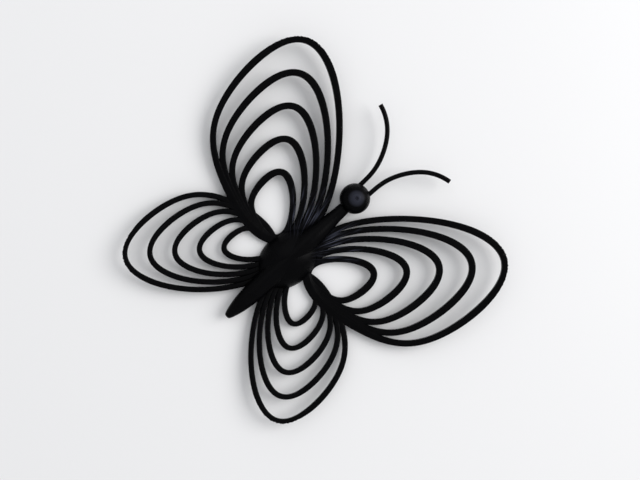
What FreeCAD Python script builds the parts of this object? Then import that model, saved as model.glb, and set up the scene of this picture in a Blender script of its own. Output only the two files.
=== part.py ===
import FreeCAD, Part
import Sketcher
import math
import os
from FreeCAD import Placement, Rotation, Vector

# An openwork butterfly that is fixed flat on a wall, all in one piece.
# Each wing is a set of nested rings that share one root: every ring is the outline
# of the outermost one, drawn smaller about the wing's base point. The bands are
# widest at the wing's tip and narrow down its sides, as a broad nib draws them.
# Lengths are millimetres. X goes to the butterfly's right, Y to its head and Z
# away from the wall, with the flat back of the body in the plane Z = 0.

SIZES = {
    # Forewing. Its base point lies outside the thorax's side and ahead of its middle.
    "forewing_length": 99.0,
    "forewing_width": 63.0,
    "forewing_root_out": 5.3,
    "forewing_root_ahead": 1.4,
    "forewing_sweep": 52.0,
    "forewing_tip_band": 4.3,
    "forewing_side_band": 2.6,
    "forewing_depth": 3.2,
    # Hindwing.
    "hindwing_length": 73.0,
    "hindwing_width": 47.0,
    "hindwing_root_out": 1.7,
    "hindwing_root_ahead": -0.4,
    "hindwing_sweep": -51.5,
    "hindwing_tip_band": 3.1,
    "hindwing_side_band": 2.4,
    "hindwing_depth": 2.8,
    # Both pairs of wings.
    "ring_count": 5,
    "eye_share": 0.3333,
    "wing_rise": 4.0,
    "band_draft": 0.55,
    # Body, counted along its axis from the middle of the thorax.
    "axis_height": 5.0,
    "thorax_place": -1.0,
    "thorax_half_width": 9.0,
    "thorax_half_length": 13.0,
    "thorax_edge_height": 3.4,
    "thorax_height": 7.8,
    "thorax_top_share": 0.6,
    "chest_radius": 5.6,
    "end_radius": 0.9,
    "end_behind": 41.3,
    "tip_radius": 1.8,
    "tip_behind": 40.3,
    "tail_radius": 4.0,
    "tail_behind": 33.0,
    "abdomen_radius": 5.2,
    "abdomen_behind": 20.0,
    "shoulder_radius": 5.4,
    "shoulder_ahead": 16.0,
    "neck_radius": 3.2,
    "collar_ahead": 30.0,
    "head_ahead": 45.1,
    "head_radius": 7.65,
    "head_height": 7.2,
    # Antennae: the root is counted from the centre of the head, the rest along
    # the rod, which sways outwards, bends and ends straight.
    "antenna_radius": 1.2,
    "antenna_root_out": 3.2,
    "antenna_root_ahead": 5.0,
    "antenna_lean": 3.0,
    "antenna_sway_radius": 77.0,
    "antenna_sway_turn": 17.0,
    "antenna_bend_radius": 14.5,
    "antenna_bend_turn": 42.0,
    "antenna_end_length": 12.4,
    "antenna_tip_length": 0.9,
    "antenna_tip_share": 0.5,
    "antenna_rise": 2.5,
}

# Control points of a wing's outermost ring, as shares of the wing's length (along
# its long axis, from the base point) and of its width (across, towards the head).
FOREWING_OUTLINE = [
    (1.0, -0.235),
    (1.035, 0.17),
    (0.63, 0.445),
    (0.045, 0.435),
    (-0.07, -0.065),
    (0.2, -0.41),
    (0.515, -0.695),
]
HINDWING_OUTLINE = [
    (1.045, -0.155),
    (0.98, 0.255),
    (0.54, 0.68),
    (0.195, 0.465),
    (-0.08, 0.075),
    (0.03, -0.41),
    (0.635, -0.455),
]

CUT_MARGIN = 1.0
ROOM_SIDE = 400.0
ROOM_HEIGHT = 60.0

doc = FreeCAD.newDocument("Butterfly")
sheet = doc.addObject("Spreadsheet::Sheet", "Sizes")
for row, (alias, value) in enumerate(SIZES.items(), start=1):
    sheet.set("A%d" % row, alias)
    sheet.set("B%d" % row, repr(value))
    sheet.setAlias("B%d" % row, alias)
doc.recompute()


def size(alias):
    return float(sheet.get(alias))


# Wings


def nib_offsets(points, tip_band, side_band):
    """How far each control point moves outwards, so that the curve moves by half of
    the band that a nib `tip_band` long and `side_band` wide leaves there. A curve
    softens a move that turns with its control points, and `spread` makes up for it."""
    spread = 6 / (4 + 2 * math.cos(2 * math.pi / len(points)))
    moves = []
    for place, point in enumerate(points):
        before = points[place - 1]
        after = points[(place + 1) % len(points)]
        run_x = after[0] - before[0]
        run_y = after[1] - before[1]
        run = math.hypot(run_x, run_y)
        out_x = run_y / run
        out_y = -run_x / run
        half_band = spread * math.hypot(tip_band * out_x, side_band * out_y) / 2
        moves.append((out_x * half_band, out_y * half_band))
    return moves


class Wing:
    """One wing of the right side. It is drawn in its own plane with the base point
    at the origin and its long axis along X, then turned and set by the thorax."""

    def __init__(self, name, outline):
        self.name = name
        self.depth = size(name + "_depth")
        length = size(name + "_length")
        width = size(name + "_width")
        self.points = [(along * length, across * width) for along, across in outline]

    def edge_line(self, share, side, level):
        """Outer (side 1) or inner (side -1) edge of the ring that is `share` of
        the outermost one, at one level of the band's depth."""
        lean = 2 * size("band_draft") * level / self.depth
        tip_band = size(self.name + "_tip_band") - lean
        side_band = size(self.name + "_side_band") - lean
        moves = nib_offsets(self.points, tip_band, side_band)
        poles = []
        for (x, y), (move_x, move_y) in zip(self.points, moves):
            poles.append(Vector(x * share + side * move_x, y * share + side * move_y, level))
        knots = len(poles) + 1
        curve = Part.BSplineCurve()
        curve.buildFromPolesMultsKnots(poles, [1] * knots, list(range(knots)), True, 3)
        return Part.Wire(curve.toShape())

    def lump(self, label, share, side, margin):
        """Solid inside one edge of a ring, from `margin` below the band to
        `margin` above it, with the band's draft."""
        sections = []
        for end, level in (("lower", -margin), ("upper", self.depth + margin)):
            line = doc.addObject("Part::Feature", "%s_%s_line" % (label, end))
            line.Shape = self.edge_line(share, side, level)
            sections.append(line)
        solid = doc.addObject("Part::Loft", label)
        solid.Sections = sections
        solid.Solid = True
        solid.Ruled = True
        return solid

    def build(self):
        rings = int(size("ring_count"))
        step = (1 - size("eye_share")) / (rings - 1)
        shares = [1 - step * ring for ring in range(rings)]
        holes = []
        for ring in range(rings - 1):
            label = "%s_gap_%d" % (self.name, ring + 1)
            gap = doc.addObject("Part::Cut", label)
            gap.Base = self.lump(label + "_space", shares[ring], -1, CUT_MARGIN)
            gap.Tool = self.lump(label + "_ring", shares[ring + 1], 1, 2 * CUT_MARGIN)
            holes.append(gap)
        holes.append(self.lump(self.name + "_eye", shares[-1], -1, CUT_MARGIN))
        all_holes = doc.addObject("Part::Compound", self.name + "_holes")
        all_holes.Links = holes
        wing = doc.addObject("Part::Cut", self.name)
        wing.Base = self.lump(self.name + "_plate", shares[0], 1, 0)
        wing.Tool = all_holes
        out = "Sizes.thorax_half_width + Sizes.%s_root_out" % self.name
        ahead = "Sizes.thorax_place + Sizes.%s_root_ahead" % self.name
        sweep = "rotation(vector(0; 0; 1); Sizes.%s_sweep)" % self.name
        rise = "rotation(vector(0; 1; 0); -Sizes.wing_rise)"
        place = "placement(vector(%s; %s; 0); %s * %s)" % (out, ahead, sweep, rise)
        wing.setExpression("Placement", place)
        return wing


# Body and head


def spindle():
    """The round body, through circles from the tip of the abdomen to the middle
    of the head."""
    body = doc.addObject("PartDesign::Body", "spindle")
    planes = {plane.Role: plane for plane in body.Origin.OriginFeatures}
    stations = [
        ("end", "end_radius", "-Sizes.end_behind"),
        ("tip", "tip_radius", "-Sizes.tip_behind"),
        ("tail", "tail_radius", "-Sizes.tail_behind"),
        ("abdomen", "abdomen_radius", "-Sizes.abdomen_behind"),
        ("chest", "chest_radius", "0"),
        ("shoulder", "shoulder_radius", "Sizes.shoulder_ahead"),
        ("collar", "neck_radius", "Sizes.collar_ahead"),
        ("head_end", "neck_radius", "Sizes.head_ahead"),
    ]
    sketches = []
    for name, radius, along in stations:
        sketch = body.newObject("Sketcher::SketchObject", name + "_section")
        sketch.AttachmentSupport = (planes["XZ_Plane"], [""])
        sketch.MapMode = "FlatFace"
        circle = Part.Circle(Vector(0, 0, 0), Vector(0, 0, 1), size(radius))
        sketch.addGeometry(circle, False)
        sketch.addConstraint(Sketcher.Constraint("Coincident", 0, 3, -1, 1))
        sketch.addConstraint(Sketcher.Constraint("Radius", 0, size(radius)))
        sketch.renameConstraint(1, "girth")
        sketch.setExpression("Constraints.girth", "Sizes." + radius)
        sketch.setExpression("AttachmentOffset.Base.z", "-(Sizes.thorax_place + %s)" % along)
        sketches.append(sketch)
    doc.recompute()
    skin = body.newObject("PartDesign::AdditiveLoft", "skin")
    skin.Profile = sketches[0]
    skin.Sections = sketches[1:]
    skin.Ruled = True
    body.setExpression("Placement.Base.z", "Sizes.axis_height")
    return body


def head():
    ball = doc.addObject("Part::Sphere", "head")
    ball.setExpression("Radius", "Sizes.head_radius")
    ball.setExpression("Placement.Base.y", "Sizes.thorax_place + Sizes.head_ahead")
    ball.setExpression("Placement.Base.z", "Sizes.head_height")
    return ball


def thorax():
    """The broad middle of the body, which carries the wing roots: upright sides
    up to its edge, and a slope from there to its top."""
    levels = [
        ("foot", "0", "1"),
        ("edge", "Sizes.thorax_edge_height", "1"),
        ("top", "Sizes.thorax_height", "Sizes.thorax_top_share"),
    ]
    sections = []
    for name, height, share in levels:
        ellipse = doc.addObject("Part::Ellipse", "thorax_" + name)
        ellipse.setExpression("MajorRadius", "Sizes.thorax_half_length * " + share)
        ellipse.setExpression("MinorRadius", "Sizes.thorax_half_width * " + share)
        ellipse.Placement.Rotation = Rotation(Vector(1, 0, 0), Vector(0, 1, 0))
        ellipse.setExpression("Placement.Base.y", "Sizes.thorax_place")
        ellipse.setExpression("Placement.Base.z", height)
        sections.append(ellipse)
    hump = doc.addObject("Part::Loft", "thorax")
    hump.Sections = sections
    hump.Solid = True
    hump.Ruled = True
    return hump


def turn_right(start, heading, radius, turn):
    """An arc that leaves `start` at `heading` degrees right of straight ahead
    and turns further right, with its end point."""
    def stop(angle):
        turned = math.radians(angle)
        began = math.radians(heading)
        out = radius * (math.cos(began) - math.cos(turned))
        ahead = radius * (math.sin(turned) - math.sin(began))
        return start + Vector(out, ahead, 0)

    end = stop(heading + turn)
    return Part.Arc(start, stop(heading + turn / 2), end).toShape(), end


def antenna():
    """The right antenna, a round rod with a bevelled tip. It is drawn from its root
    at the origin and set on the head."""
    root = Vector(0, 0, 0)
    lean = size("antenna_lean")
    sway_turn = size("antenna_sway_turn")
    sway, sway_end = turn_right(root, lean, size("antenna_sway_radius"), sway_turn)
    bend_turn = size("antenna_bend_turn")
    heading = lean + sway_turn
    bend, bend_end = turn_right(sway_end, heading, size("antenna_bend_radius"), bend_turn)
    heading = math.radians(heading + bend_turn)
    end_run = Vector(math.sin(heading), math.cos(heading), 0) * size("antenna_end_length")
    end = Part.makeLine(bend_end, bend_end + end_run)
    line = doc.addObject("Part::Feature", "antenna_line")
    line.Shape = Part.Wire([sway, bend, end])
    circle = doc.addObject("Part::Circle", "antenna_section")
    circle.setExpression("Radius", "Sizes.antenna_radius")
    first_run = Vector(math.sin(math.radians(lean)), math.cos(math.radians(lean)), 0)
    circle.Placement = Placement(root, Rotation(Vector(0, 0, 1), first_run))
    rod = doc.addObject("Part::Sweep", "antenna_rod")
    rod.Sections = [circle]
    rod.Spine = (line, ["Edge1", "Edge2", "Edge3"])
    rod.Solid = True
    rod.Frenet = False
    tip = doc.addObject("Part::Cone", "antenna_tip")
    tip.setExpression("Radius1", "Sizes.antenna_radius")
    tip.setExpression("Radius2", "Sizes.antenna_radius * Sizes.antenna_tip_share")
    tip.setExpression("Height", "Sizes.antenna_tip_length")
    tip.Placement = Placement(bend_end + end_run, Rotation(Vector(0, 0, 1), end_run))
    whole = doc.addObject("Part::Fuse", "antenna")
    whole.Base = rod
    whole.Tool = tip
    ahead = "Sizes.thorax_place + Sizes.head_ahead + Sizes.antenna_root_ahead"
    base = "vector(Sizes.antenna_root_out; %s; Sizes.head_height)" % ahead
    rise = "rotation(vector(1; 0; 0); Sizes.antenna_rise)"
    whole.setExpression("Placement", "placement(%s; %s)" % (base, rise))
    return whole


# One piece


def mirrored(source):
    other = doc.addObject("Part::Mirroring", source.Name + "_left")
    other.Source = source
    other.Base = Vector(0, 0, 0)
    other.Normal = Vector(1, 0, 0)
    return other


def butterfly():
    """Everything fused, one thing after the other, and cut off flush with the wall."""
    sides = [
        Wing("forewing", FOREWING_OUTLINE).build(),
        Wing("hindwing", HINDWING_OUTLINE).build(),
        antenna(),
    ]
    joining = [thorax(), head()] + sides + [mirrored(side) for side in sides]
    whole = spindle()
    for item in joining:
        joined = doc.addObject("Part::Fuse", "with_" + item.Name)
        joined.Base = whole
        joined.Tool = item
        whole = joined
    room = doc.addObject("Part::Box", "room")
    room.Length = ROOM_SIDE
    room.Width = ROOM_SIDE
    room.Height = ROOM_HEIGHT
    room.Placement.Base = Vector(-ROOM_SIDE / 2, -ROOM_SIDE / 2, 0)
    piece = doc.addObject("Part::Common", "piece")
    piece.Base = whole
    piece.Tool = room
    piece.Label = "butterfly"
    return piece


nodes = [butterfly()]
doc.recompute()

for thing in doc.Objects:
    if "Invalid" in thing.State or "Error" in thing.State:
        raise RuntimeError("%s did not build: %s" % (thing.Label, thing.State))
os.makedirs("parts", exist_ok=True)
for node in nodes:
    shape = node.Shape
    if shape.isNull() or not shape.isValid():
        raise RuntimeError("%s has no valid shape" % node.Label)
    if len(shape.Solids) != 1:
        raise RuntimeError("%s is %d solids" % (node.Label, len(shape.Solids)))
    shape.exportStep("parts/%s.step" % node.Label)
    box = shape.BoundBox
    print(node.Label, "volume %.0f" % shape.Volume, "faces %d" % len(shape.Faces), box)
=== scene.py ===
"""Openwork butterfly: its visible pieces, its plastic and the wall it hangs on."""

import math

import bmesh
import bpy
from bpy.props import FloatProperty, FloatVectorProperty, IntProperty, PointerProperty
from mathutils import Matrix, Vector, noise


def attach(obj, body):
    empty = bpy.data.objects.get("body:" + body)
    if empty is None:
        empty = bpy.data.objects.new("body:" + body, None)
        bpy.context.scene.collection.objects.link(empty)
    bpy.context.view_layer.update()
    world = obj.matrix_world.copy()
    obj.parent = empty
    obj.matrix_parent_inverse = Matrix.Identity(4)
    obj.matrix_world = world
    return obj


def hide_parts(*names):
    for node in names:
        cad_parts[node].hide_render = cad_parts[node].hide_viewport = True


bl_info = {
    "name": "Openwork butterfly",
    "version": (1, 0, 0),
    "blender": (4, 5, 0),
    "location": "3D View > Sidebar > Butterfly",
    "description": "Models a flat-backed butterfly of nested rings on a pale wall",
    "category": "Add Mesh",
}

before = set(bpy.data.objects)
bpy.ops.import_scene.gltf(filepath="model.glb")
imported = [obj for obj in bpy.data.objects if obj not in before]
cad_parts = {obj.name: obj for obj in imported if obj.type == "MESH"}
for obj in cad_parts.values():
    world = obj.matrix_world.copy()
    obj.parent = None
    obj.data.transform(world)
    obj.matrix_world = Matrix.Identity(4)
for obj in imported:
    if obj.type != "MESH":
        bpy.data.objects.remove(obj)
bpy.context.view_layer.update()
MM = 0.001
NODE = "butterfly"
PLASTIC = "layered_plastic"

# Control points of the outermost ring of a wing, as shares of the wing's length
# along its long axis and of its width across it, towards the head.
FOREWING_OUTLINE = [
    (1.0, -0.235),
    (1.035, 0.17),
    (0.63, 0.445),
    (0.045, 0.435),
    (-0.07, -0.065),
    (0.2, -0.41),
    (0.515, -0.695),
]
HINDWING_OUTLINE = [
    (1.045, -0.155),
    (0.98, 0.255),
    (0.54, 0.68),
    (0.195, 0.465),
    (-0.08, 0.075),
    (0.03, -0.41),
    (0.635, -0.455),
]

# The ragged outer wall at the tip of the largest ring: where it begins and over how
# far it grows, as shares of the wing's length, how fast it changes in a millimetre
# along the ring and off the wall, and how far the whole of it is drawn in.
FRAY_START = 0.86
FRAY_GROWTH = 0.12
FRAY_PITCH = 0.62
FRAY_PITCH_OFF_WALL = 0.35
FRAY_SEED = 3.1
FRAY_DRAWN_IN = 0.6

# Ends closer to a level than this lie in it.
HAIR = 0.01 * MM

# Stations of the round body: how far ahead of the origin, and the radius there.
BODY_STATIONS = [
    (-42.2, 0.7),
    (-41.9, 1.4),
    (-41.0, 2.0),
    (-38.0, 2.95),
    (-34.0, 3.95),
    (-28.0, 4.75),
    (-21.0, 5.2),
    (-12.0, 5.45),
    (-1.0, 5.55),
    (8.0, 5.5),
    (15.0, 5.35),
    (21.0, 4.7),
    (27.0, 3.8),
    (33.0, 3.25),
    (41.0, 3.15),
]

# Control points of the right antenna's centre line, right of and ahead of the origin.
ANTENNA_LINE = [
    (3.2, 48.6),
    (3.25, 52.4),
    (3.1, 60.3),
    (7.5, 71.3),
    (14.7, 80.6),
    (22.0, 84.0),
    (25.8, 84.8),
]


def metres(name, value, description):
    return FloatProperty(
        name=name, default=value * MM, unit="LENGTH", precision=4, description=description
    )


def degrees(name, value, description):
    return FloatProperty(
        name=name, default=math.radians(value), subtype="ANGLE", description=description
    )


def number(name, value, description):
    return FloatProperty(name=name, default=value, description=description)


def count(name, value, description):
    return IntProperty(name=name, default=value, description=description)


def tint(name, value, description):
    return FloatVectorProperty(
        name=name, subtype="COLOR", size=3, default=value, description=description
    )


class WingSizes(bpy.types.PropertyGroup):
    rings: count("Rings", 5, "Nested rings in a wing")
    eye_share: number("Eye share", 0.3333, "Size of the smallest ring against the largest")
    ring_inset: metres("Ring inset", 0.06, "How much shallower each smaller ring is")
    rise: degrees("Rise", 4.0, "How far a wing leans away from the wall")
    tip_swell: number("Tip swell", 1.3, "How much more a ring widens inwards at the tip")
    round_over: metres("Round-over", 0.6, "Radius on the front edges of a ring")
    round_segments: count("Round-over segments", 5, "Faces across a rounded edge")
    under_edge: metres("Under edge", 0.3, "Bevel on the back edges of a ring")
    raggedness: metres("Raggedness", 0.45, "How far the tip of the largest ring is ragged")
    fore_out: metres("Forewing out", 14.3, "Base point right of the origin")
    fore_ahead: metres("Forewing ahead", 0.4, "Base point ahead of the origin")
    fore_sweep: degrees("Forewing sweep", 52.0, "Long axis, turned towards the head")
    fore_length: metres("Forewing length", 99.0, "From the base point to the tip")
    fore_width: metres("Forewing width", 63.0, "Across the forewing")
    fore_depth: metres("Forewing depth", 3.2, "Depth of a forewing ring")
    fore_tip_band: metres("Forewing tip band", 4.3, "Width of a ring at the tip")
    fore_side_band: metres("Forewing side band", 2.6, "Width of a ring down its sides")
    fore_steps: count("Forewing steps", 56, "Points along a ring for one control point")
    hind_out: metres("Hindwing out", 10.7, "Base point right of the origin")
    hind_ahead: metres("Hindwing ahead", -1.4, "Base point ahead of the origin")
    hind_sweep: degrees("Hindwing sweep", -51.5, "Long axis, turned towards the head")
    hind_length: metres("Hindwing length", 73.0, "From the base point to the tip")
    hind_width: metres("Hindwing width", 47.0, "Across the hindwing")
    hind_depth: metres("Hindwing depth", 2.8, "Depth of a hindwing ring")
    hind_tip_band: metres("Hindwing tip band", 3.1, "Width of a ring at the tip")
    hind_side_band: metres("Hindwing side band", 2.4, "Width of a ring down its sides")
    hind_steps: count("Hindwing steps", 44, "Points along a ring for one control point")


class BodySizes(bpy.types.PropertyGroup):
    axis_height: metres("Axis height", 5.0, "Height of the body's axis above the wall")
    thorax_half_width: metres("Thorax half width", 13.0, "From the axis to the side")
    thorax_half_length: metres("Thorax half length", 18.0, "From the middle to the end")
    thorax_height: metres("Thorax height", 10.4, "From the wall to the top")
    thorax_place: metres("Thorax place", 0.0, "Middle of the thorax ahead of the origin")
    head_radius: metres("Head radius", 7.65, "Radius of the ball head")
    head_place: metres("Head place", 44.1, "Centre of the head ahead of the origin")
    head_height: metres("Head height", 7.2, "Centre of the head above the wall")
    terrace: metres("Terrace", 0.1, "Height of one terrace on the top of the head")
    terraces: count("Terraces", 6, "Terraces on the top of the head")
    dimple_radius: metres("Dimple radius", 0.8, "Radius of the dimple in the top of the head")
    antenna_radius: metres("Antenna radius", 1.2, "Radius of an antenna rod")
    antenna_root: metres("Antenna root", 49.1, "Where a rod is level with the head's centre")
    antenna_slope: number("Antenna slope", 0.0436, "Rise of a rod for one unit ahead")
    antenna_steps: count("Antenna steps", 14, "Points along a rod for one control point")


class PlasticFinish(bpy.types.PropertyGroup):
    colour: tint("Colour", (0.0006, 0.0006, 0.0008), "Black of the plastic")
    worn_colour: tint("Worn colour", (0.0016, 0.0016, 0.0022), "Paler, rubbed black")
    # Colour of the painted highlights on the leading ring roots and the top of the head
    painted_highlight: tint("Bloom", (0.06, 0.064, 0.09), "Bluish shine of close layers")
    roughness: number("Roughness", 0.28, "Roughness of the plastic")
    roughness_spread: number("Roughness spread", 0.14, "How much the roughness varies")
    gloss: number("Gloss", 0.045, "Strength of the reflections")
    layer: metres("Layer", 0.2, "Thickness of one layer of the plastic")
    layer_relief: number("Layer relief", 0.12, "Step of a layer on a flat front")
    rib_relief: number("Rib relief", 0.12, "Rib of a layer on an upright wall")
    grain_relief: number("Grain relief", 0.06, "Fine grain, against a layer")
    wobble: number("Wobble", 0.6, "How far the layers waver, against a layer")
    # Where the painted highlight streaks lie on the leading ring roots
    streaks: number("Streaks", 34.0, "Streaks in a radian about the origin")
    streak_length: metres("Streak length", 18.0, "Length of a streak")
    streak_place: metres("Streak place", 24.0, "Where the streaks are palest, from the origin")
    streak_reach: metres("Streak reach", 16.0, "How far from there the streaks are gone")
    streak_start: metres("Streak start", 5.0, "Where the streaks begin, ahead of the origin")
    streak_growth: metres("Streak growth", 10.0, "How far from there they are at full strength")
    neck_edge: metres("Neck edge", 4.0, "Half the width at the middle without streaks")
    neck_fade: metres("Neck fade", 3.0, "How far from there they are at full strength")
    # The painted highlight on the top of the head: where it begins, how far it grows, and its
    # share
    crown_height: metres("Crown height", 13.5, "Height at which the head begins to shine")
    crown_fade: metres("Crown fade", 1.1, "How far above that it shines most")
    crown_highlight_share: number("Crown shine", 0.38, "Share of the bloom on the top of the head")


class WallSettings(bpy.types.PropertyGroup):
    colour: tint("Colour", (0.78, 0.78, 0.785), "Colour of the wall")
    roughness: number("Roughness", 0.42, "Roughness of the wall")
    size: FloatProperty(name="Size", default=3.0, unit="LENGTH", description="Side of the wall")
    key_power: number("Key light", 19.5, "Soft light from the right")
    sky: number("Room light", 0.68, "Even light of the room")


# Materials


class Value:
    """A socket of a node tree, for writing shader maths as sums and products."""

    def __init__(self, paint, socket):
        self.paint = paint
        self.socket = socket

    def maths(self, operation, *others):
        return self.paint.node("ShaderNodeMath", {"operation": operation}, list(others))

    def __add__(self, other):
        return self.maths("ADD", self, other)

    def __sub__(self, other):
        return self.maths("SUBTRACT", self, other)

    def __rsub__(self, other):
        return self.maths("SUBTRACT", other, self)

    def __mul__(self, other):
        return self.maths("MULTIPLY", self, other)

    def __truediv__(self, other):
        return self.maths("DIVIDE", self, other)

    def __abs__(self):
        return self.maths("ABSOLUTE", self)

    def held(self):
        """The value, held between 0 and 1."""
        return self.paint.node("ShaderNodeClamp", {}, [self])

    __radd__ = __add__
    __rmul__ = __mul__


class Paint:
    """One material, built node by node."""

    def __init__(self, name):
        self.material = bpy.data.materials.new(name)
        self.material.use_nodes = True
        self.tree = self.material.node_tree
        self.shader = self.tree.nodes["Principled BSDF"]

    def node(self, kind, settings, values, output=0):
        made = self.tree.nodes.new(kind)
        for key, setting in settings.items():
            setattr(made, key, setting)
        pairs = values.items() if isinstance(values, dict) else enumerate(values)
        for key, value in pairs:
            self.feed(made.inputs[key], value)
        return Value(self, made.outputs[output])

    def feed(self, socket, value):
        if isinstance(value, Value):
            self.tree.links.new(value.socket, socket)
        else:
            socket.default_value = value

    def axis(self, vector, name):
        return self.node("ShaderNodeSeparateXYZ", {}, [vector], name)

    def clouds(self, place, scale, detail):
        values = {"Vector": place, "Scale": scale, "Detail": detail}
        return self.node("ShaderNodeTexNoise", {}, values)

    def mix(self, share, first, second):
        """A mix of two colours, which are the node's inputs 6 and 7."""
        values = {"Factor": share, 6: first, 7: second}
        return self.node("ShaderNodeMix", {"data_type": "RGBA"}, values, 2)

    def finish(self, **values):
        for name, value in values.items():
            self.feed(self.shader.inputs[name.replace("_", " ")], value)
        return self.material


def layer_relief(paint, finish, place):
    """Broad steps where a surface lies nearly parallel to the wall, and fine ribs
    where it stands upright."""
    facing = paint.node("ShaderNodeTexCoord", {}, {}, "Normal")
    upright = abs(paint.axis(facing, "Z"))
    waver = paint.clouds(place, 90.0, 2.0) - 0.5
    level = paint.axis(place, "Z") / finish.layer + waver * finish.wobble
    along = level.maths("FRACT", level)
    step = along.maths("MINIMUM", 1 - along, along * 6.0)
    rib = along.maths("SINE", along * math.pi)
    steps = step * upright * (finish.layer * finish.layer_relief)
    ribs = rib * (1 - upright) * (finish.layer * finish.rib_relief)
    grain = paint.clouds(place, 2400.0, 3.0)
    return steps + ribs + grain * (finish.layer * finish.grain_relief)


def painted_highlight_share(paint, finish, place):
    """Painted highlights: pale streaks that fan out from the origin over the leading ring roots,
    and a painted highlight on the top of the head."""
    right, ahead, height = (paint.axis(place, name) for name in "XYZ")
    turn = ahead.maths("ARCTAN2", ahead, abs(right))
    reach = ahead.maths("SQRT", right * right + ahead * ahead)
    fan = [turn * finish.streaks, reach / finish.streak_length]
    rays = paint.clouds(paint.node("ShaderNodeCombineXYZ", {}, fan), 1.0, 2.0)
    near_root = (1 - abs(reach - finish.streak_place) / finish.streak_reach).held()
    leading = ((ahead - finish.streak_start) / finish.streak_growth).held()
    off_neck = ((abs(right) - finish.neck_edge) / finish.neck_fade).held()
    # Painted highlight streaks, then the painted highlight on the top of the head
    streaks = ((rays - 0.53) * 8.0).held() * near_root * leading * off_neck
    crown = ((height - finish.crown_height) / finish.crown_fade).held()
    return streaks + crown * finish.crown_highlight_share


def black_plastic():
    """Black plastic, laid down in flat layers, with painted highlights mixed into its colour."""
    finish = bpy.context.scene.plastic_finish
    paint = Paint(PLASTIC)
    place = paint.node("ShaderNodeTexCoord", {}, {}, "Object")
    relief = layer_relief(paint, finish, place)
    bump = paint.node("ShaderNodeBump", {}, {"Strength": 1.0, "Distance": 1.0, "Height": relief})
    patches = paint.clouds(place, 160.0, 5.0)
    black = paint.mix(patches * patches, (*finish.colour, 1), (*finish.worn_colour, 1))
    share = painted_highlight_share(paint, finish, place)
    spread = finish.roughness_spread
    return paint.finish(
        # Painted highlights mixed into the black
        Base_Color=paint.mix(share, black, (*finish.painted_highlight, 1)),
        Roughness=patches * spread + (finish.roughness - spread / 2),
        Specular_IOR_Level=finish.gloss,
        Normal=bump,
    )


def plastic():
    return bpy.data.materials.get(PLASTIC) or black_plastic()


# Modelling


def deselect():
    if bpy.context.mode != "OBJECT":
        bpy.ops.object.mode_set(mode="OBJECT")
    bpy.ops.object.select_all(action="DESELECT")


def pick(*pieces):
    deselect()
    for piece in pieces:
        piece.select_set(True)
    bpy.context.view_layer.objects.active = pieces[0]


def joined(name, pieces):
    pick(*pieces)
    if len(pieces) > 1:
        bpy.ops.object.join()
    piece = bpy.context.object
    piece.name = name
    piece.data.name = name
    return piece


def settle(piece):
    """Puts the piece's place into its mesh."""
    pick(piece)
    bpy.ops.object.transform_apply(location=True, rotation=True, scale=True)


def outwards(piece):
    pick(piece)
    bpy.ops.object.mode_set(mode="EDIT")
    bpy.ops.mesh.select_mode(type="VERT")
    bpy.ops.mesh.select_all(action="SELECT")
    bpy.ops.mesh.normals_make_consistent(inside=False)
    bpy.ops.object.mode_set(mode="OBJECT")


def flush_with_wall(piece):
    """Cuts off what lies behind the wall's face, and closes the cut."""
    pick(piece)
    bpy.ops.object.mode_set(mode="EDIT")
    bpy.ops.mesh.select_all(action="SELECT")
    bpy.ops.mesh.bisect(
        plane_co=(0, 0, 0), plane_no=(0, 0, 1), use_fill=True, clear_inner=True, threshold=1e-7
    )
    bpy.ops.object.mode_set(mode="OBJECT")


def dress(piece, angle=40):
    """Smooth shading, the plastic, and the piece's place in the frame."""
    pick(piece)
    bpy.ops.object.shade_smooth_by_angle(angle=math.radians(angle))
    piece.data.materials.clear()
    piece.data.materials.append(plastic())
    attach(piece, "root")
    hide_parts(NODE)


def bent_line(points, closed, steps):
    """A smooth line led by the points, eight at most, as a curve object."""
    deselect()
    bpy.ops.curve.primitive_nurbs_circle_add(radius=MM)
    curve = bpy.context.object
    bpy.ops.object.mode_set(mode="EDIT")
    bpy.ops.curve.select_all(action="DESELECT")
    for extra in curve.data.splines[0].points[len(points):]:
        extra.select = True
    bpy.ops.curve.delete(type="VERT")
    bpy.ops.object.mode_set(mode="OBJECT")
    spline = curve.data.splines[0]
    spline.use_bezier_u = False
    spline.use_endpoint_u = not closed
    spline.use_cyclic_u = closed
    spline.order_u = 4
    spline.resolution_u = steps
    for led, point in zip(spline.points, points):
        led.co = (*point, 1)
    return curve


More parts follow.
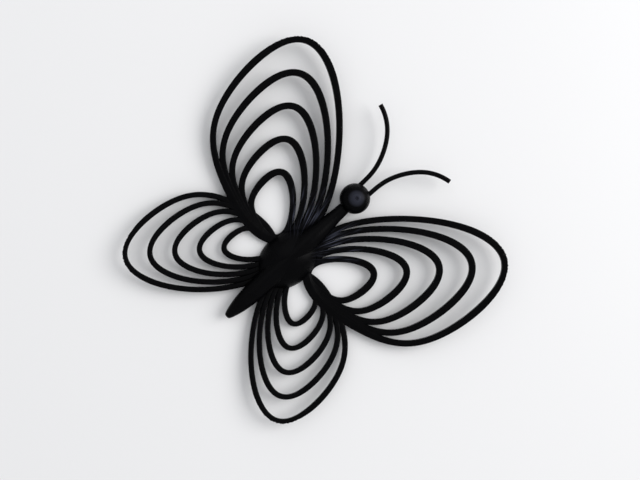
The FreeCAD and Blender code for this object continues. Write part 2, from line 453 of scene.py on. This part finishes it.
class Wing:
    """One wing of the right side, in its own plane with the base point at the
    origin and its long axis along X. `kind` is "fore" or "hind"."""

    def __init__(self, sizes, kind, outline):
        self.sizes = sizes
        self.kind = kind
        self.length = self.size("length")
        width = self.size("width")
        self.points = [(along * self.length, across * width) for along, across in outline]
        tip_band = self.size("tip_band")
        side_band = self.size("side_band")
        self.outer = self.moves(tip_band, side_band)
        self.inner = self.moves(-sizes.tip_swell * tip_band, -side_band)

    def size(self, part):
        return getattr(self.sizes, "%s_%s" % (self.kind, part))

    def moves(self, tip_band, side_band):
        """How far each control point moves for one edge of a band, outwards for
        positive bands and inwards for negative ones. A curve softens a move that
        turns with its control points, and `spread` makes up for it."""
        corners = len(self.points)
        spread = 6 / (4 + 2 * math.cos(2 * math.pi / corners))
        side = math.copysign(spread / 2, tip_band)
        moves = []
        for place in range(corners):
            before = self.points[place - 1]
            after = self.points[(place + 1) % corners]
            run = Vector((after[0] - before[0], after[1] - before[1])).normalized()
            half_band = side * math.hypot(tip_band * run.y, side_band * run.x)
            moves.append((run.y * half_band, -run.x * half_band))
        return moves

    def edge(self, share, moves):
        line = []
        for (x, y), (move_x, move_y) in zip(self.points, moves):
            line.append((x * share + move_x, y * share + move_y, 0))
        curve = bent_line(line, True, self.size("steps"))
        pick(curve)
        bpy.ops.object.convert(target="MESH")
        return bpy.context.object

    def ring(self, share, depth):
        """A flat band between two edges, extruded to its depth, with its front
        edges rounded over and its back edges bevelled."""
        band = joined("ring", [self.edge(share, self.outer), self.edge(share, self.inner)])
        bpy.ops.object.mode_set(mode="EDIT")
        bpy.ops.mesh.select_mode(type="EDGE")
        bpy.ops.mesh.select_all(action="SELECT")
        bpy.ops.mesh.bridge_edge_loops()
        bpy.ops.mesh.select_all(action="SELECT")
        bpy.ops.mesh.extrude_region_move(TRANSFORM_OT_translate={"value": (0, 0, depth)})
        self.soften(band, depth, self.sizes.round_over, self.sizes.round_segments)
        self.soften(band, 0, self.sizes.under_edge, 1)
        bpy.ops.object.mode_set(mode="OBJECT")
        return band

    def soften(self, band, level, offset, segments):
        """Bevels the edges between the band's walls and its face at one level."""
        shape = bmesh.from_edit_mesh(band.data)
        for item in shape.edges:
            flat = all(abs(end.co.z - level) < HAIR for end in item.verts)
            walls = [face for face in item.link_faces if abs(face.normal.z) < 0.5]
            item.select_set(flat and len(walls) == 1)
        bmesh.update_edit_mesh(band.data)
        bpy.ops.mesh.bevel(offset=offset, segments=segments, profile=0.5, affect="EDGES")

    def fray(self, band):
        """Makes the outer wall of the ring ragged towards its tip."""
        middle = Vector((self.length * 0.5, 0))
        for corner in band.data.vertices:
            flat = corner.co.xy
            mask = (flat.x / self.length - FRAY_START) / FRAY_GROWTH
            away = flat - middle
            outer = corner.normal.xy.dot(away.normalized()) > 0.4
            if mask > 0 and outer:
                along = math.atan2(away.y, away.x) * self.length / MM * FRAY_PITCH
                off_wall = corner.co.z / MM * FRAY_PITCH_OFF_WALL
                ragged = noise.noise(Vector((along, FRAY_SEED, off_wall))) - FRAY_DRAWN_IN
                push = away.normalized() * (min(mask, 1) * self.sizes.raggedness * ragged)
                corner.co.x += push.x
                corner.co.y += push.y

    def build(self):
        sizes = self.sizes
        step = (1 - sizes.eye_share) / (sizes.rings - 1)
        bands = []
        for place in range(sizes.rings):
            band = self.ring(1 - step * place, self.size("depth") - sizes.ring_inset * place)
            if place == 0:
                self.fray(band)
            bands.append(band)
        wing = joined("right_%swing" % self.kind, bands)
        sweep = Matrix.Rotation(self.size("sweep"), 4, "Z")
        rise = Matrix.Rotation(-sizes.rise, 4, "Y")
        base = Matrix.Translation((self.size("out"), self.size("ahead"), 0))
        wing.matrix_world = base @ sweep @ rise
        settle(wing)
        flush_with_wall(wing)
        outwards(wing)
        return wing


def both_sides(piece, name):
    """The piece, and its mirror image as a piece of its own."""
    pick(piece)
    bpy.ops.object.duplicate(linked=False)
    other = bpy.context.object
    other.name = name
    other.data.name = name
    other.scale.x = -1
    settle(other)
    outwards(other)
    return piece, other


def round_rod(name, stations, height, corners):
    """A disc across Y, extruded and scaled from station to station."""
    deselect()
    ahead, radius = stations[0]
    bpy.ops.mesh.primitive_circle_add(
        vertices=corners,
        radius=radius,
        fill_type="NGON",
        location=(0, ahead, height),
        rotation=(math.pi / 2, 0, 0),
    )
    rod = bpy.context.object
    settle(rod)
    bpy.ops.object.mode_set(mode="EDIT")
    bpy.ops.mesh.select_mode(type="FACE")
    bpy.ops.mesh.select_all(action="SELECT")
    for next_ahead, next_radius in stations[1:]:
        run = (0, next_ahead - ahead, 0)
        bpy.ops.mesh.extrude_region_move(TRANSFORM_OT_translate={"value": run})
        scale = next_radius / radius
        bpy.ops.transform.resize(value=(scale, 1, scale), center_override=(0, next_ahead, height))
        ahead, radius = next_ahead, next_radius
    bpy.ops.object.mode_set(mode="OBJECT")
    return joined(name, [rod])


def smoothed(piece, levels):
    pick(piece)
    soft = piece.modifiers.new("soft", "SUBSURF")
    soft.levels = levels
    soft.render_levels = levels
    bpy.ops.object.modifier_apply(modifier=soft.name)


# Operators


def model_wings(context, kind, outline):
    wing = Wing(context.scene.wing_sizes, kind, outline).build()
    for side in both_sides(wing, "left_%swing" % kind):
        dress(side)


class BUTTERFLY_OT_forewings(bpy.types.Operator):
    """Model the forewings"""

    bl_idname = "butterfly.forewings"
    bl_label = "Forewings"

    def execute(self, context):
        model_wings(context, "fore", FOREWING_OUTLINE)
        return {"FINISHED"}


class BUTTERFLY_OT_hindwings(bpy.types.Operator):
    """Model the hindwings"""

    bl_idname = "butterfly.hindwings"
    bl_label = "Hindwings"

    def execute(self, context):
        model_wings(context, "hind", HINDWING_OUTLINE)
        return {"FINISHED"}


class BUTTERFLY_OT_body(bpy.types.Operator):
    """Model the abdomen, thorax and neck"""

    bl_idname = "butterfly.body"
    bl_label = "Body"

    def execute(self, context):
        sizes = context.scene.body_sizes
        stations = [(ahead * MM, radius * MM) for ahead, radius in BODY_STATIONS]
        rod = round_rod("body", stations, sizes.axis_height, 32)
        smoothed(rod, 2)
        flush_with_wall(rod)
        outwards(rod)
        dress(rod, 60)
        deselect()
        bpy.ops.mesh.primitive_uv_sphere_add(
            segments=64,
            ring_count=32,
            radius=1,
            location=(0, sizes.thorax_place, 0),
            scale=(sizes.thorax_half_width, sizes.thorax_half_length, sizes.thorax_height),
        )
        thorax = joined("thorax", [bpy.context.object])
        settle(thorax)
        flush_with_wall(thorax)
        outwards(thorax)
        dress(thorax, 60)
        return {"FINISHED"}


class BUTTERFLY_OT_head(bpy.types.Operator):
    """Model the ball head with the small terraces and the dimple on its top"""

    bl_idname = "butterfly.head"
    bl_label = "Head"

    def execute(self, context):
        sizes = context.scene.body_sizes
        radius = sizes.head_radius
        deselect()
        bpy.ops.mesh.primitive_uv_sphere_add(
            segments=72,
            ring_count=96,
            radius=radius,
            location=(0, sizes.head_place, sizes.head_height),
        )
        head = joined("head", [bpy.context.object])
        settle(head)
        flush_with_wall(head)
        top = sizes.head_height + radius
        for corner in head.data.vertices:
            terrace = (top - corner.co.z) // sizes.terrace
            if terrace < sizes.terraces:
                corner.co.z = top - (terrace + 1) * sizes.terrace
            if math.hypot(corner.co.x, corner.co.y - sizes.head_place) < sizes.dimple_radius:
                corner.co.z = top - sizes.terraces * sizes.terrace
        outwards(head)
        dress(head, 60)
        return {"FINISHED"}


class BUTTERFLY_OT_antennae(bpy.types.Operator):
    """Model the antennae"""

    bl_idname = "butterfly.antennae"
    bl_label = "Antennae"

    def execute(self, context):
        sizes = context.scene.body_sizes
        line = []
        for x, y in ANTENNA_LINE:
            rise = (y * MM - sizes.antenna_root) * sizes.antenna_slope
            line.append((x * MM, y * MM, sizes.head_height + rise))
        curve = bent_line(line, False, sizes.antenna_steps)
        curve.data.bevel_depth = sizes.antenna_radius
        curve.data.bevel_resolution = 6
        curve.data.use_fill_caps = True
        pick(curve)
        bpy.ops.object.convert(target="MESH")
        rod = joined("right_antenna", [bpy.context.object])
        outwards(rod)
        for side in both_sides(rod, "left_antenna"):
            dress(side, 60)
        return {"FINISHED"}


# Stage

# The photograph's camera: its distance in millimetres and its lens, where the
# origin lies in the view at that distance, and the lean and turn of the wall.
CAMERA_DISTANCE = 600.0
CAMERA_LENS = 67.5
ORIGIN_RIGHT = -15.74
ORIGIN_DOWN = 9.23
LEAN_RIGHT = 0.0989
LEAN_DOWN = 0.0163
ROLL = 0.7443


def camera_place():
    """Where the camera stands for the photograph: straight in front of the wall,
    which leans a little, with the butterfly turned on it."""
    off_wall = Vector((math.tan(LEAN_RIGHT), math.tan(LEAN_DOWN), 1)).normalized()
    along = Vector((1, 0, -off_wall.x / off_wall.z)).normalized()
    down = off_wall.cross(along)
    to_right = along * math.sin(ROLL) + down * math.cos(ROLL)
    to_head = along * math.cos(ROLL) - down * math.sin(ROLL)
    view = Matrix.Identity(4)
    for column, axis in enumerate((to_right, to_head, off_wall)):
        view[0][column] = axis.x
        view[1][column] = -axis.y
        view[2][column] = axis.z
    view[0][3] = ORIGIN_RIGHT * MM
    view[1][3] = -ORIGIN_DOWN * MM
    view[2][3] = -CAMERA_DISTANCE * MM
    return view.inverted()


def seen_from_camera(right, up, off):
    """A direction or place in the picture's own axes, as one in the frame."""
    turned = camera_place().to_3x3()
    return turned @ Vector((right, up, 0)) + Vector((0, 0, off))


class BUTTERFLY_OT_stage(bpy.types.Operator):
    """Set up the wall, the soft lights and the camera"""

    bl_idname = "butterfly.stage"
    bl_label = "Wall, lights and camera"

    def execute(self, context):
        settings = context.scene.wall_settings
        deselect()
        bpy.ops.mesh.primitive_plane_add(size=settings.size, location=(0, 0, 0))
        wall = joined("wall", [bpy.context.object])
        paint = Paint("pale_wall")
        wall.data.materials.append(
            paint.finish(Base_Color=(*settings.colour, 1), Roughness=settings.roughness)
        )
        # Name, place to the right, up and off the wall, size, power and colour.
        lamps = (
            ("key", 1.5, 0.4, 1.2, 1.6, settings.key_power * 1.5, (1.0, 0.99, 0.98)),
            ("top", -0.15, 0.7, 1.1, 1.0, settings.key_power * 0.07, (0.97, 0.98, 1.0)),
        )
        for name, right, up, off, side, power, colour in lamps:
            place = seen_from_camera(right, up, off)
            bpy.ops.object.light_add(type="AREA", location=place)
            lamp = bpy.context.object
            lamp.name = name
            lamp.data.shape = "DISK"
            lamp.data.size = side
            lamp.data.energy = power
            lamp.data.color = colour
            lamp.rotation_euler = (-place).to_track_quat("-Z", "Y").to_euler()
        world = context.scene.world or bpy.data.worlds.new("room")
        context.scene.world = world
        world.use_nodes = True
        room = world.node_tree.nodes["Background"]
        room.inputs["Color"].default_value = (0.97, 0.98, 1.0, 1)
        room.inputs["Strength"].default_value = settings.sky
        bpy.ops.object.camera_add()
        camera = bpy.context.object
        camera.name = "camera"
        camera.data.lens = CAMERA_LENS
        camera.data.sensor_width = 36.0
        camera.matrix_world = camera_place()
        context.scene.camera = camera
        context.scene.view_settings.view_transform = "Standard"
        return {"FINISHED"}


class BUTTERFLY_PT_panel(bpy.types.Panel):
    """The butterfly's pieces, one button each"""

    bl_idname = "BUTTERFLY_PT_panel"
    bl_label = "Openwork butterfly"
    bl_space_type = "VIEW_3D"
    bl_region_type = "UI"
    bl_category = "Butterfly"

    def draw(self, context):
        for operator in OPERATORS:
            self.layout.operator(operator.bl_idname)


OPERATORS = (
    BUTTERFLY_OT_forewings,
    BUTTERFLY_OT_hindwings,
    BUTTERFLY_OT_body,
    BUTTERFLY_OT_head,
    BUTTERFLY_OT_antennae,
    BUTTERFLY_OT_stage,
)
SETTINGS = {
    "wing_sizes": WingSizes,
    "body_sizes": BodySizes,
    "plastic_finish": PlasticFinish,
    "wall_settings": WallSettings,
}


def register():
    for name, group in SETTINGS.items():
        bpy.utils.register_class(group)
        setattr(bpy.types.Scene, name, PointerProperty(type=group))
    for operator in OPERATORS:
        bpy.utils.register_class(operator)
    bpy.utils.register_class(BUTTERFLY_PT_panel)


def unregister():
    bpy.utils.unregister_class(BUTTERFLY_PT_panel)
    for operator in reversed(OPERATORS):
        bpy.utils.unregister_class(operator)
    for name, group in SETTINGS.items():
        delattr(bpy.types.Scene, name)
        bpy.utils.unregister_class(group)


def main():
    register()
    bpy.ops.butterfly.forewings()
    bpy.ops.butterfly.hindwings()
    bpy.ops.butterfly.body()
    bpy.ops.butterfly.head()
    bpy.ops.butterfly.antennae()
    bpy.ops.butterfly.stage()


if __name__ == "__main__":
    main()
